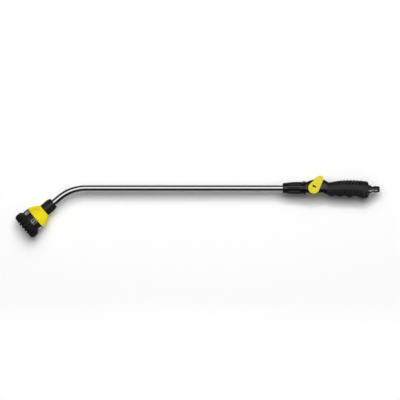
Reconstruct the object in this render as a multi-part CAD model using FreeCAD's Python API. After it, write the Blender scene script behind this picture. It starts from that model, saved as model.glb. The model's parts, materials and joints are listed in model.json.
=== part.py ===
import FreeCAD, Part
import math
import os
from functools import lru_cache
from FreeCAD import Vector

# Garden watering wand: a hose plug and hand grip, a thumb-lever ball valve, a chromed lance bent
# down at its far end, and a spray head whose front turns to pick one of six spray patterns.
#
# Frame, in millimetres: the origin is on the hose plug's axis, midway along its locking collar.
# +X runs back towards the hose, +Z is up and +Y is the wand's right-hand side seen from behind.
# "Station" is a place along the line that a turned part is turned about. For parts on the handle
# and lance it is the X coordinate. For head parts it is the distance from the top of the neck nut,
# along the head's axis, towards the spray face.

# ---- driving dimensions ----------------------------------------------------------------------
RUNNING = 0.05  # radial clearance of a part that turns in another
EASE = 0.1  # clearance between parts that are pushed or screwed together

# Lance
LINE_Z = 3.0  # valve and lance axis above the hose plug's axis
TUBE_R = 8.0
TUBE_WALL = 1.0
TUBE_BEAD_R = 9.8  # rolled bead that the union nuts pull on
TUBE_REAR_X = -173.5  # end of the tube inside the valve
BEND_X = -715.0  # end of the long straight run
BEND_R = 103.0
BEND_DEG = 40.0
AFTER_BEND = 18.4  # tube in view between the bend and the neck nut
TUBE_IN_HEAD = 26.7  # how far the tube goes past the top of the neck nut

# Hose plug
COLLAR_R = 8.15
COLLAR_HALF = 3.0
PLUG_NOSE_X = 8.9
PLUG_NOSE_R = 7.4
PLUG_NECK_R = 6.9
PLUG_SHOULDER_X = -17.8
PLUG_SHANK_R = 8.1
PLUG_SHANK_X = -37.0
PLUG_BORE_R = 4.0

# Handle
GRIP_FRONT_X = -121.5
GRIP_REAR_X = -22.0
GRIP_TOP = 22.8  # height of the top arch at its crown
GRIP_CROWN_X = -66.0
ARCH_FRONT = 0.00235  # fall of the top arch, per mm squared from its crown
ARCH_REAR = 0.00175
GRIP_HALF_WIDTH = 16.4
FINGER_PITCH = 22.9
FINGER_LOBE_X = -64.6  # the rearmost lobe between two fingers
POMMEL_X = -28.5
TOP_SLOT_PITCH = 8.25
LOW_SLOT_PITCH = 4.45
SLOT_BORDER = 1.2  # plain border of a pad, all round its slots
GRIP_POWER = 2.3  # superellipse exponent of the grip's sections
PAD_THICK = 2.0
SHELL_WALL = 2.2
PIPE_R = 5.4
PIPE_SPIGOT_R = 6.4
SCREW_XS = (-92.0, -72.0, -52.0)
SCREW_Z = 8.2

# Valve
PIVOT_X = -154.0
BALL_R = 8.5
BALL_BORE_R = 3.9
SEAT_HALF = 10.4  # from the ball's centre to the back of a seat ring
BODY_HALF_WIDTH = 15.5
BOSS_R = 15.8
FLANGE_REAR_X = -173.5
FLANGE_FRONT_X = -180.0
FLANGE_R = 17.5
SPIGOT_FRONT_X = -204.0
SPIGOT_R = 12.6
SPIGOT_BORE_R = 10.25
SPINDLE_R = 3.5
BODY_TAIL_R = 8.6  # the valve body's tail, clamped in the front of the handle shells
TAIL_FLANGE_R = 10.2

# Thumb lever, a yoke with one cheek on each side of the valve
LEVER_REST_DEG = 54.5  # above +X, leaning back over the grip
LEVER_TRAVEL_DEG = 60.0
LEVER_HUB_R = 14.0
LEVER_TIP_R = 7.6
LEVER_REACH = 28.0
CHEEK_INNER = 15.8
CHEEK_OUTER = 19.6
BRIDGE_INNER_R = 26.8

# Tube nut
NUT_FRONT_X = -230.0
NUT_REAR_X = -180.6
NUT_FLUTES = 12

# Head, in stations along its axis
NECK_END = 29.4
SHROUD_END = 57.8
DIAL_END = 75.2
FACE_END = 96.8
SHROUD_SMALL_R = 16.2
SHROUD_LARGE_R = 29.8
DIAL_R = 29.4
DIAL_BORE_R = 27.2
RING_R = 34.2
PATTERNS = 6
PORT_CIRCLE_R = 15.0
INDEX_DEG = -99.0  # about the head's axis: the pattern in use, in front of the fixed port
SCOOPS = 20  # finger scoops round the rubber ring, each ending in a bite out of its front lip
SCOOP_DEG = -97.5
BITE_R = 3.1
DIAL_RIM_END = 93.4
HUB_R = 7.0
ROTOR_R = 27.1
LIP_R = 28.25  # lip of the shroud that reaches into the dial and hides the gap between them
LIP_END = SHROUD_END + 1.1

HEAD_DEG = -90.0 - BEND_DEG  # turn about Y that carries a head part's own +Z onto the spray axis
BEND = math.radians(BEND_DEG)
SPRAY_AXIS = Vector(-math.cos(BEND), 0, -math.sin(BEND))
BEND_END = Vector(BEND_X - BEND_R * math.sin(BEND), 0, LINE_Z - BEND_R * (1 - math.cos(BEND)))
HEAD_TOP = BEND_END + SPRAY_AXIS * AFTER_BEND

UP = Vector(0, 0, 1)
ACROSS = Vector(0, 1, 0)
ALONG = Vector(1, 0, 0)
ORIGIN = Vector(0, 0, 0)
PIVOT = Vector(PIVOT_X, 0, LINE_Z)


# ---- shared shapes ---------------------------------------------------------------------------
def outline(start, *steps):
    """A closed wire in the XZ plane. A step is a point, or a (via, end) pair for an arc."""
    first = Vector(start[0], 0, start[1])
    here = first
    edges = []
    for step in steps:
        if isinstance(step[0], tuple):
            via, end = (Vector(a, 0, b) for a, b in step)
            edges.append(Part.Arc(here, via, end).toShape())
        else:
            end = Vector(step[0], 0, step[1])
            edges.append(Part.makeLine(here, end))
        here = end
    if here.distanceToPoint(first) > 1e-6:
        edges.append(Part.makeLine(here, first))
    return Part.Wire(edges)


def turned(start, *steps):
    """A solid turned about Z from an outline of (radius, station) points."""
    return Part.Face(outline(start, *steps)).revolve(ORIGIN, UP, 360)


def ring(inner, outer, low, high):
    """A plain tube about Z between two stations."""
    body = Part.makeCylinder(outer, high - low, Vector(0, 0, low))
    if inner > 0:
        body = body.cut(Part.makeCylinder(inner, high - low, Vector(0, 0, low)))
    return body


def seal(inner, thickness, station):
    """An O-ring about Z."""
    return Part.makeTorus(inner + thickness / 2, thickness / 2, Vector(0, 0, station), UP)


def on_line(shape, height=LINE_Z):
    """Lays a part turned about Z along X, at a height, so that its stations are X coordinates."""
    shape.rotate(ORIGIN, ACROSS, 90)
    shape.translate(Vector(0, 0, height))
    return shape


def on_head(shape):
    """Carries a head part from its own frame to its place at the end of the lance."""
    shape.rotate(ORIGIN, ACROSS, HEAD_DEG)
    shape.translate(HEAD_TOP)
    return shape


def across(radius, low, high, x, z):
    """A cylinder along Y."""
    return Part.makeCylinder(radius, high - low, Vector(x, low, z), ACROSS)


def box(low, high):
    """A box between two opposite corners."""
    size = [high[i] - low[i] for i in range(3)]
    return Part.makeBox(*size, Vector(*low))


def prism(wire, half_width):
    """A wire in the XZ plane, extruded to both sides of it."""
    face = Part.Face(wire)
    face.translate(Vector(0, -half_width, 0))
    return face.extrude(Vector(0, 2 * half_width, 0))


def polar(shape, count, start_deg=0.0):
    """Copies of a shape, evenly spaced about Z."""
    copies = []
    for i in range(count):
        copy = shape.copy()
        copy.rotate(ORIGIN, UP, start_deg + 360.0 * i / count)
        copies.append(copy)
    return copies


def at_angle(radius, degrees, station=0.0):
    """A point at an angle about Z."""
    angle = math.radians(degrees)
    return Vector(radius * math.cos(angle), radius * math.sin(angle), station)


def oval_point(x, top, bottom, half_width, power, turn):
    """A point of a smooth section across X. turn is in turns, from +Y towards the top."""
    c, s = math.cos(2 * math.pi * turn), math.sin(2 * math.pi * turn)
    y = half_width * math.copysign(abs(c) ** (2 / power), c)
    z = (top + bottom) / 2 + (top - bottom) / 2 * math.copysign(abs(s) ** (2 / power), s)
    return Vector(x, y, z)


def oval(x, top, bottom, half_width, power=GRIP_POWER, count=24):
    """A smooth closed section across X, between a top and a bottom height."""
    sizes = (x, top, bottom, half_width, power)
    curve = Part.BSplineCurve()
    curve.interpolate([oval_point(*sizes, i / count) for i in range(count)], PeriodicFlag=True)
    return Part.Wire(curve.toShape())


def cross_recess(width, reach, depth):
    """The driver slot of a screw whose head faces +Z at the origin."""
    arms = []
    for a, b in ((reach, width), (width, reach)):
        arms.append(box((-a / 2, -b / 2, -depth), (a / 2, b / 2, depth)))
    return arms[0].fuse(arms[1])


# ---- lance -----------------------------------------------------------------------------------
def lance_path():
    """The tube's centre line, from inside the valve to inside the head."""
    start = Vector(TUBE_REAR_X, 0, LINE_Z)
    corner = Vector(BEND_X, 0, LINE_Z)
    centre = corner - UP * BEND_R
    half = BEND / 2
    middle = centre + Vector(-math.sin(half), 0, math.cos(half)) * BEND_R
    finish = HEAD_TOP + SPRAY_AXIS * TUBE_IN_HEAD
    edges = [
        Part.makeLine(start, corner),
        Part.Arc(corner, middle, BEND_END).toShape(),
        Part.makeLine(BEND_END, finish),
    ]
    return Part.Wire(edges)


BEAD_REAR_X = -201.0
BEAD_FRONT_STATION = 12.9


def lance_tube():
    path = lance_path()
    start = Vector(TUBE_REAR_X, 0, LINE_Z)
    solids = []
    for radius in (TUBE_R, TUBE_R - TUBE_WALL):
        profile = Part.Wire(Part.makeCircle(radius, start, ALONG))
        solids.append(path.makePipeShell([profile], True, False))
    bead = TUBE_BEAD_R - TUBE_R
    rear_bead = on_line(Part.makeTorus(TUBE_R, bead, Vector(0, 0, BEAD_REAR_X), UP))
    front_bead = on_head(Part.makeTorus(TUBE_R, bead, Vector(0, 0, BEAD_FRONT_STATION), UP))
    return solids[0].fuse([rear_bead, front_bead]).cut(solids[1])


# ---- hose plug and inlet ---------------------------------------------------------------------
def hose_plug():
    c, h = COLLAR_R, COLLAR_HALF
    nose, neck, shank = PLUG_NOSE_R, PLUG_NECK_R, PLUG_SHANK_R
    return on_line(
        turned(
            (PLUG_BORE_R, PLUG_NOSE_X),
            (nose - 1.0, PLUG_NOSE_X),
            ((nose - 0.3, PLUG_NOSE_X - 0.3), (nose, PLUG_NOSE_X - 1.0)),
            (nose, 7.0),
            (5.85, 7.0),
            (5.85, 4.5),
            (nose, 4.5),
            (nose, 3.7),
            (c, h),
            (c, -h),
            ((c - 0.2, -h - 0.5), (c - 0.7, -h - 0.7)),
            (neck + 0.5, -h - 0.7),
            ((neck + 0.15, -h - 0.85), (neck, -h - 1.2)),
            (neck, -10.7),
            ((neck + 0.2, -11.2), (neck + 0.7, -11.4)),
            (8.9, -11.4),
            ((9.3, -11.55), (9.45, -12.0)),
            (9.9, -15.0),
            ((10.3, -16.3), (11.3, -16.8)),
            (11.4, PLUG_SHOULDER_X),
            (shank, PLUG_SHOULDER_X),
            (shank, -31.0),
            (6.6, -31.0),
            (6.6, -33.4),
            (shank, -33.4),
            (shank, PLUG_SHANK_X),
            (PLUG_BORE_R, PLUG_SHANK_X),
        ),
        0,
    )


def hose_plug_oring():
    return on_line(seal(5.87, 1.9, 5.75), 0)


def plug_shank_oring():
    return on_line(seal(6.62, 1.5, -32.2), 0)


PIPE_SOCKET_R = 11.0
PIPE_SOCKET_FRONT_X = -44.0
PIPE_FRONT_X = -127.5
PIPE_ORING_XS = (-124.5, -119.0)


def inlet_pipe():
    """Carries the water through the grip. The hose plug screws into its wide rear end."""
    body = turned(
        (PLUG_BORE_R, PIPE_FRONT_X),
        (PIPE_SPIGOT_R - 0.6, PIPE_FRONT_X),
        (PIPE_SPIGOT_R, PIPE_FRONT_X + 0.6),
        (PIPE_SPIGOT_R, -112.0),
        (PIPE_R, -111.0),
        (PIPE_R, PIPE_SOCKET_FRONT_X - 4.0),
        (PIPE_SOCKET_R, PIPE_SOCKET_FRONT_X),
        (PIPE_SOCKET_R, GRIP_REAR_X - 0.2),
        (PLUG_SHANK_R + RUNNING, GRIP_REAR_X - 0.2),
        (PLUG_SHANK_R + RUNNING, PLUG_SHANK_X - 0.5),
        (PLUG_BORE_R, PLUG_SHANK_X - 0.5),
    )
    for x in PIPE_ORING_XS:
        body = body.cut(ring(5.35, PIPE_SPIGOT_R + 1, x - 0.7, x + 0.7))
    return on_line(body, 0)


def inlet_pipe_orings():
    return Part.makeCompound([on_line(seal(5.37, 1.04, x), 0) for x in PIPE_ORING_XS])


# ---- handle ----------------------------------------------------------------------------------
def grip_top(x):
    """Top of the handle: a flat arch that lifts again into the guard behind the lever."""
    fall = ARCH_FRONT if x < GRIP_CROWN_X else ARCH_REAR
    arch = GRIP_TOP - fall * (x - GRIP_CROWN_X) ** 2
    return arch + 0.0335 * max(0.0, -110.0 - x) ** 2


def finger_wave(x):
    """1 on a lobe, -1 in a finger groove. The last groove runs out into the wider pommel."""
    last_groove = FINGER_LOBE_X + FINGER_PITCH / 2
    cycles = (min(x, last_groove) - FINGER_LOBE_X) / FINGER_PITCH
    to_pommel = (x - last_groove) / (POMMEL_X - last_groove)
    cycles += 0.5 * min(1.0, max(0.0, to_pommel))
    return math.cos(2 * math.pi * cycles)


def grip_bottom(x):
    """Underside of the handle: finger grooves that deepen rearwards, and a raised front."""
    lobes = -18.0 - 0.063 * (x + 107.5)
    grooves = -16.2 - 0.03 * (x + 98.0)
    front = 0.035 * max(0.0, -112.0 - x) ** 2
    rear = 0.05 * max(0.0, x - POMMEL_X) ** 2
    return (lobes + grooves) / 2 + (lobes - grooves) / 2 * finger_wave(x) + front + rear


def grip_half_width(x):
    return GRIP_HALF_WIDTH - 0.0007 * (x + 70.0) ** 2


@lru_cache(maxsize=None)
def grip_solid(inset, front=GRIP_FRONT_X, rear=GRIP_REAR_X):
    """The handle's outer form, drawn in by an inset: a side face, its mirror image and two ends."""
    steps = max(6, round((rear - front) / (FINGER_PITCH / 6)))
    rows = []
    for i in range(steps + 1):
        x = front + (rear - front) * i / steps
        sizes = (x, grip_top(x) - inset, grip_bottom(x) + inset, grip_half_width(x) - inset)
        rows.append([oval_point(*sizes, GRIP_POWER, 0.25 - j / 24) for j in range(13)])
    surface = Part.BSplineSurface()
    surface.interpolate(rows)
    side = surface.toShape()
    faces = [side, side.mirror(ORIGIN, ACROSS)]
    for x in (front, rear):
        rim = [e for e in side.Edges if abs(e.BoundBox.XMin - x) + abs(e.BoundBox.XMax - x) < 0.01]
        rim.append(rim[0].mirror(ORIGIN, ACROSS))
        faces.append(Part.Face(Part.Wire(rim)))
    shell = Part.makeShell(faces)
    shell.sewShape()
    solid = Part.makeSolid(shell)
    if solid.Volume < 0:
        solid.reverse()
    return solid


PAD_FRONT_X = -119.5
TOP_PAD_REAR_X = -38.0
LOW_PAD_REAR_X = -27.0


def pad_zone(upper, border=0.0):
    """The part of the handle's side view that a rubber pad covers, inside a border."""
    front = PAD_FRONT_X + border
    if upper:
        rear = TOP_PAD_REAR_X - border
        wire = outline(
            (front, 8.6 + border),
            ((-74.0, 11.8 + border), (rear - 2.0, 8.8 + border)),
            ((rear - 0.6, 9.4 + border), (rear, 10.8 + border)),
            (rear, 30.0),
            (front, 30.0),
        )
    else:
        rear = LOW_PAD_REAR_X - border
        wire = outline(
            (front, -1.6 - border),
            ((-72.0, 0.4 - border), (rear - 2.0, -3.2 - border)),
            ((rear - 0.6, -3.8 - border), (rear, -5.2 - border)),
            (rear, -30.0),
            (front, -30.0),
        )
    return prism(wire, 25.0)


def grip_skin():
    return grip_solid(0.0).cut(grip_solid(PAD_THICK, GRIP_FRONT_X - 1, GRIP_REAR_X + 1))


def grip_pad(upper):
    """A rubber pad let into the handle, slotted across so that ribs stand between the slots."""
    if upper:
        first, count, pitch, width, depth = -115.2, 10, TOP_SLOT_PITCH, 3.2, 1.5
    else:
        first, count, pitch, width, depth = -114.0, 19, LOW_SLOT_PITCH, 1.8, 1.1
    slots = []
    for i in range(count):
        x = first + i * pitch
        slots.append(box((x - width / 2, -25, -40), (x + width / 2, 25, 40)))
    floor = grip_solid(depth, GRIP_FRONT_X - 1, GRIP_REAR_X + 1)
    slots = Part.makeCompound(slots).common(pad_zone(upper, SLOT_BORDER)).cut(floor)
    return grip_skin().common(pad_zone(upper)).cut(slots)


def screw_post(x, sign):
    """A boss inside one shell, from the joint plane to that shell's wall."""
    low, high = sorted((sign * 0.05, sign * (grip_half_width(x) - SHELL_WALL)))
    return across(2.7, low, high, x, SCREW_Z)


def handle_shell(sign):
    """One half of the handle's hard shell. sign is -1 for the left half and 1 for the right."""
    cavity_wall = PAD_THICK + SHELL_WALL
    cavity = grip_solid(cavity_wall, GRIP_FRONT_X + 3.0, GRIP_REAR_X - 3.0)
    body = grip_solid(0.0).cut(cavity)
    body = body.fuse([screw_post(x, sign) for x in SCREW_XS])
    pipe_way = [
        on_line(ring(0, BODY_TAIL_R + EASE, GRIP_FRONT_X - 1, GRIP_FRONT_X + 4), 0),
        on_line(ring(0, TAIL_FLANGE_R + EASE, GRIP_FRONT_X + 3.0, GRIP_FRONT_X + 8), 0),
        on_line(ring(0, PIPE_SOCKET_R + EASE, GRIP_REAR_X - 8, GRIP_REAR_X + 1), 0),
    ]
    body = body.cut([pad_skin(True), pad_skin(False)] + pipe_way)
    low, high = sorted((0.0, sign * 40.0))
    half = box((GRIP_FRONT_X - 1, low, -40), (GRIP_REAR_X + 1, high, 40))
    body = body.common(half)
    for x in SCREW_XS:
        if sign > 0:
            body = body.cut([across(1.45, -1, 12, x, SCREW_Z), across(2.35, 10.3, 30, x, SCREW_Z)])
        else:
            body = body.cut(across(1.27, -10.0, 1, x, SCREW_Z))
    return body


@lru_cache(maxsize=None)
def pad_skin(upper):
    """The recess a pad fills, open to the outside."""
    thick = grip_solid(-1.0, GRIP_FRONT_X, GRIP_REAR_X)
    core = grip_solid(PAD_THICK, GRIP_FRONT_X - 1, GRIP_REAR_X + 1)
    return thick.cut(core).common(pad_zone(upper))


def handle_screws():
    screws = []
    for x in SCREW_XS:
        shank = across(1.25, -9.0, 10.3, x, SCREW_Z)
        head = across(2.2, 10.3, 11.9, x, SCREW_Z)
        slot = cross_recess(0.7, 2.6, 0.9)
        slot.rotate(ORIGIN, ALONG, -90)
        slot.translate(Vector(x, 11.9, SCREW_Z))
        screws.append(shank.fuse(head).cut(slot))
    return Part.makeCompound(screws)


def end_cap():
    """Closes the handle's rear end. The hose plug's shoulder holds it on."""
    x = GRIP_REAR_X
    sections = [
        oval(x, grip_top(x) - 0.1, grip_bottom(x) + 0.4, grip_half_width(x) - 0.1),
        oval(x + 1.8, grip_top(x) - 1.1, grip_bottom(x) + 1.7, grip_half_width(x) - 0.9),
        oval(PLUG_SHOULDER_X, 13.2, -15.0, 12.6, 2.1),
    ]
    return Part.makeLoft(sections, True).cut(on_line(ring(0, 8.2, x - 1, x + 9), 0))


# ---- valve -----------------------------------------------------------------------------------
CHAMBER_R = BALL_R + 0.25
CHAMBER_FRONT_X = PIVOT_X - SEAT_HALF - 0.2
BELL_FRONT_X = -129.5
GUARD_TOP = 23.6


def valve_cover():
    """The smooth housing over the valve, from the flange to the guard behind the lever."""
    contour = (
        # station, top, bottom, half width
        (FLANGE_REAR_X - 1.0, 18.2, -10.0, 13.2),
        (-167.0, 19.9, -9.6, 13.9),
        (-161.0, 22.2, -9.4, 14.3),
        (PIVOT_X, 23.7, -9.4, 14.5),
        (-146.0, 23.4, -9.4, 14.5),
        (-138.0, 21.6, -9.4, 14.4),
        (BELL_FRONT_X + 0.5, 20.4, -9.4, 14.3),
    )
    cover = Part.makeLoft([oval(*row, power=3.0) for row in contour], True)
    x = GRIP_FRONT_X
    bell = (
        (BELL_FRONT_X - 2.6, 20.5, -9.0, 13.9),
        (BELL_FRONT_X + 0.3, GUARD_TOP - 0.3, -10.0, 14.2),
        (BELL_FRONT_X + 1.8, GUARD_TOP, -10.6, 14.3),
        (BELL_FRONT_X + 4.6, 22.4, -12.0, 14.4),
        (x - 0.1, grip_top(x), grip_bottom(x), grip_half_width(x)),
    )
    return cover.fuse(Part.makeLoft([oval(*row, power=2.6) for row in bell], True))


def lever_sweep():
    """Room for the lever's bridge over its whole travel."""
    ring_room = across(44.0, -30, 30, PIVOT_X, LINE_Z).cut(
        across(BRIDGE_INNER_R - 0.5, -30, 30, PIVOT_X, LINE_Z)
    )
    lean_deg = 90.0 - lever_flare_deg()
    above = box((FLANGE_REAR_X - 30, -40, LINE_Z), (GRIP_FRONT_X, 40, 60))
    room = ring_room.common(above)
    for edge_deg in (LEVER_REST_DEG - lean_deg, LEVER_REST_DEG + LEVER_TRAVEL_DEG + lean_deg):
        limit = box((-80, -40, -80), (LEVER_HUB_R + 0.7, 40, 80))
        limit.rotate(ORIGIN, ACROSS, -edge_deg)
        limit.translate(PIVOT)
        room = room.common(limit)
    return room


def valve_body():
    boss = across(BOSS_R, -BODY_HALF_WIDTH, BODY_HALF_WIDTH, PIVOT_X, LINE_Z)
    boss = boss.makeFillet(1.6, [edge for edge in boss.Edges if edge.isClosed()])
    front = on_line(
        turned(
            (0, SPIGOT_FRONT_X),
            (SPIGOT_R - 0.8, SPIGOT_FRONT_X),
            (SPIGOT_R, SPIGOT_FRONT_X + 0.8),
            (SPIGOT_R, FLANGE_FRONT_X),
            (FLANGE_R - 0.5, FLANGE_FRONT_X),
            (FLANGE_R, FLANGE_FRONT_X + 0.5),
            (FLANGE_R, FLANGE_FRONT_X + 2.4),
            (FLANGE_R - 1.2, FLANGE_FRONT_X + 2.8),
            (FLANGE_R - 1.2, FLANGE_FRONT_X + 3.6),
            (FLANGE_R - 0.2, FLANGE_FRONT_X + 4.0),
            (FLANGE_R - 0.2, FLANGE_REAR_X - 0.5),
            (FLANGE_R - 0.7, FLANGE_REAR_X),
            (0, FLANGE_REAR_X),
        )
    )
    rear = on_line(
        turned(
            (0, GRIP_FRONT_X - 6.0),
            (BODY_TAIL_R, GRIP_FRONT_X - 6.0),
            (BODY_TAIL_R, GRIP_FRONT_X + 3.1),
            (TAIL_FLANGE_R, GRIP_FRONT_X + 3.1),
            (TAIL_FLANGE_R, GRIP_FRONT_X + 7.0),
            (TAIL_FLANGE_R - 0.6, GRIP_FRONT_X + 7.6),
            (0, GRIP_FRONT_X + 7.6),
        ),
        0,
    )
    bores = [
        on_line(ring(0, SPIGOT_BORE_R, SPIGOT_FRONT_X - 1, CHAMBER_FRONT_X)),
        on_line(ring(0, CHAMBER_R, CHAMBER_FRONT_X - 1, PIVOT_X + SEAT_HALF)),
        on_line(ring(0, BALL_BORE_R, PIVOT_X, PIPE_FRONT_X)),
        on_line(ring(0, PIPE_SPIGOT_R + RUNNING, PIPE_FRONT_X - 2.5, GRIP_FRONT_X + 8), 0),
        across(SPINDLE_R + RUNNING, -BODY_HALF_WIDTH - 1, 0, PIVOT_X, LINE_Z),
        across(1.75, 9.9, BODY_HALF_WIDTH + 1, PIVOT_X, LINE_Z),
    ]
    return boss.fuse([valve_cover(), front, rear]).cut(lever_sweep()).cut(bores)


def ball_seat(side):
    """A seat ring. side is -1 in front of the ball and 1 behind it."""
    face, back = sorted((PIVOT_X + side * 5.2, PIVOT_X + side * (SEAT_HALF - 0.05)))
    body = on_line(ring(4.2, CHAMBER_R - 0.05, face, back))
    return body.cut(Part.makeSphere(BALL_R + 0.03, PIVOT))


def valve_ball():
    """Shut at rest: the bore lines up with the lance when the lever is pushed fully forward."""
    bore = Part.makeCylinder(BALL_BORE_R, 40, Vector(-20, 0, 0), ALONG)
    bore.rotate(ORIGIN, ACROSS, LEVER_TRAVEL_DEG)
    bore.translate(PIVOT)
    slot = box((-6, -10, -1.6), (6, -5.6, 1.6))
    slot.rotate(ORIGIN, ACROSS, LEVER_TRAVEL_DEG)
    slot.translate(PIVOT)
    return Part.makeSphere(BALL_R, PIVOT).cut([bore, slot])


SPINDLE_ORING_YS = (-11.3, -13.6)


def valve_spindle():
    """Turns the ball. Its square head sits in the lever's left cheek."""
    shaft = ring(0, SPINDLE_R, 9.0, BODY_HALF_WIDTH)
    for y in SPINDLE_ORING_YS:
        shaft = shaft.cut(ring(2.6, SPINDLE_R + 1, -y - 0.65, -y + 0.65))
    head = box((-2.5, -2.5, BODY_HALF_WIDTH), (2.5, 2.5, 18.4))
    tongue = box((-2.9, -1.5, 5.7), (2.9, 1.5, 9.0))
    body = shaft.fuse([head, tongue])
    body.rotate(ORIGIN, ALONG, 90)
    body.rotate(ORIGIN, ACROSS, LEVER_TRAVEL_DEG)
    body.translate(PIVOT)
    return body


def spindle_orings():
    rings = []
    for y in SPINDLE_ORING_YS:
        centre = Vector(PIVOT_X, y, LINE_Z)
        rings.append(Part.makeTorus(3.08, 0.45, centre, ACROSS))
    return Part.makeCompound(rings)


CARRIER_FRONT_X = -197.0


def seat_carrier():
    """Holds the front seat against the ball and guides the end of the tube."""
    return on_line(
        turned(
            (4.2, CHAMBER_FRONT_X + 0.1),
            (CHAMBER_R - 0.1, CHAMBER_FRONT_X + 0.1),
            (CHAMBER_R - 0.1, CHAMBER_FRONT_X - 0.2),
            (SPIGOT_BORE_R - 0.05, CHAMBER_FRONT_X - 0.2),
            (SPIGOT_BORE_R - 0.05, CARRIER_FRONT_X),
            (TUBE_R + 0.06, CARRIER_FRONT_X),
            (TUBE_R + 0.06, TUBE_REAR_X + 0.8),
            (4.2, TUBE_REAR_X + 0.8),
        )
    )


def tube_oring_rear():
    return on_line(seal(TUBE_R + 0.02, 2.1, CARRIER_FRONT_X - 1.15))


THRUST_REAR_X = -208.0


def split_ring(low, high):
    """A nylon ring about Z, slit so that it springs over the tube behind its bead."""
    body = ring(TUBE_R + 0.06, 10.1, low, high)
    return body.cut(box((0, -0.5, low - 1), (12, 0.5, high + 1)))


def thrust_ring_rear():
    return on_line(split_ring(THRUST_REAR_X, BEAD_REAR_X - 1.85))


def fluted(body, count, groove_r, depth, low, high, low_r, high_r, start_deg=0.0):
    """Cuts round-ended finger flutes that follow a taper between two stations."""
    start = Vector(low_r - depth + groove_r, 0, low)
    finish = Vector(high_r - depth + groove_r, 0, high)
    line = finish - start
    tool = Part.makeCylinder(groove_r, line.Length, start, line)
    tool = tool.fuse([Part.makeSphere(groove_r, start), Part.makeSphere(groove_r, finish)])
    return body.cut(polar(tool, count, start_deg))


def tube_nut():
    body = turned(
        (TUBE_R + 0.3, NUT_FRONT_X),
        (11.2, NUT_FRONT_X),
        ((12.0, NUT_FRONT_X + 0.3), (12.4, NUT_FRONT_X + 1.0)),
        (12.9, NUT_FRONT_X + 5.0),
        ((14.3, NUT_FRONT_X + 17.0), (15.2, NUT_FRONT_X + 33.0)),
        (15.6, NUT_REAR_X - 3.0),
        (15.6, NUT_REAR_X - 0.6),
        (15.0, NUT_REAR_X),
        (SPIGOT_R + EASE, NUT_REAR_X),
        (SPIGOT_R + EASE, SPIGOT_FRONT_X - 0.5),
        (SPIGOT_BORE_R, SPIGOT_FRONT_X - 0.5),
        (SPIGOT_BORE_R, THRUST_REAR_X - 0.1),
        (TUBE_R + 0.3, THRUST_REAR_X - 0.1),
    )
    body = fluted(body, NUT_FLUTES, 2.6, 1.1, -216.0, -188.0, 13.9, 15.4)
    return on_line(body)


# ---- thumb lever -----------------------------------------------------------------------------
def lever_flare_deg():
    """Half the angle between the two straight sides of the lever's cheek."""
    return math.degrees(math.asin((LEVER_HUB_R - LEVER_TIP_R) / LEVER_REACH))


def teardrop(hub_r, tip_r):
    """The cheek's outline: a hub and a tip circle joined by their common tangents."""
    lean = math.acos((hub_r - tip_r) / LEVER_REACH)
    heading = math.radians(LEVER_REST_DEG)
    tip = (PIVOT_X + LEVER_REACH * math.cos(heading), LINE_Z + LEVER_REACH * math.sin(heading))

    def rim(centre, radius, angle):
        return (centre[0] + radius * math.cos(angle), centre[1] + radius * math.sin(angle))

    hub = (PIVOT_X, LINE_Z)
    return outline(
        rim(hub, hub_r, heading - lean),
        rim(tip, tip_r, heading - lean),
        (rim(tip, tip_r, heading), rim(tip, tip_r, heading + lean)),
        rim(hub, hub_r, heading + lean),
        (rim(hub, hub_r, heading + math.pi), rim(hub, hub_r, heading - lean)),
    )


def thumb_grooves():
    """Three shallow grooves across the lever's bridge, where the thumb pushes."""
    heading = math.radians(LEVER_REST_DEG)
    tip_x = PIVOT_X + LEVER_REACH * math.cos(heading)
    tip_z = LINE_Z + LEVER_REACH * math.sin(heading)
    grooves = []
    for spread_deg in (-32.0, 0.0, 32.0):
        angle = heading + math.radians(spread_deg)
        x = tip_x + (LEVER_TIP_R + 0.35) * math.cos(angle)
        z = tip_z + (LEVER_TIP_R + 0.35) * math.sin(angle)
        grooves.append(across(1.1, -CHEEK_INNER + 2.0, CHEEK_INNER - 2.0, x, z))
    return grooves


def thumb_lever():
    full = prism(teardrop(LEVER_HUB_R, LEVER_TIP_R), CHEEK_OUTER)
    outer_faces = [f for f in full.Faces if abs(abs(f.CenterOfMass.y) - CHEEK_OUTER) < 1e-6]
    rim_edges = [e for f in outer_faces for e in f.Edges]
    full = full.makeFillet(1.2, rim_edges)
    between = prism(teardrop(LEVER_HUB_R + 30, LEVER_TIP_R + 22), CHEEK_INNER)
    below = across(BRIDGE_INNER_R, -CHEEK_INNER, CHEEK_INNER, PIVOT_X, LINE_Z)
    body = full.cut(between.common(below))
    body = body.cut(thumb_grooves())
    socket = box((-2.55, -18.5, -2.55), (2.55, -CHEEK_INNER + 1, 2.55))
    socket.rotate(ORIGIN, ACROSS, LEVER_TRAVEL_DEG)
    socket.translate(PIVOT)
    bearing = across(3.05, CHEEK_INNER - 1, CHEEK_OUTER + 1, PIVOT_X, LINE_Z)
    recess = across(5.3, CHEEK_OUTER - 1.8, CHEEK_OUTER + 1, PIVOT_X, LINE_Z)
    return body.cut([socket, bearing, recess])


def pivot_screw():
    """Shoulder screw that the lever's right cheek turns on."""
    thread = across(1.73, 10.2, BODY_HALF_WIDTH, PIVOT_X, LINE_Z)
    shoulder = across(3.0, BODY_HALF_WIDTH, CHEEK_OUTER - 1.7, PIVOT_X, LINE_Z)
    head = across(5.0, CHEEK_OUTER - 1.7, CHEEK_OUTER - 0.1, PIVOT_X, LINE_Z)
    slot = cross_recess(1.1, 5.2, 1.0)
    slot.rotate(ORIGIN, ALONG, -90)
    slot.translate(Vector(PIVOT_X, CHEEK_OUTER - 0.1, LINE_Z))
    return thread.fuse([shoulder, head]).cut(slot)


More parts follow.
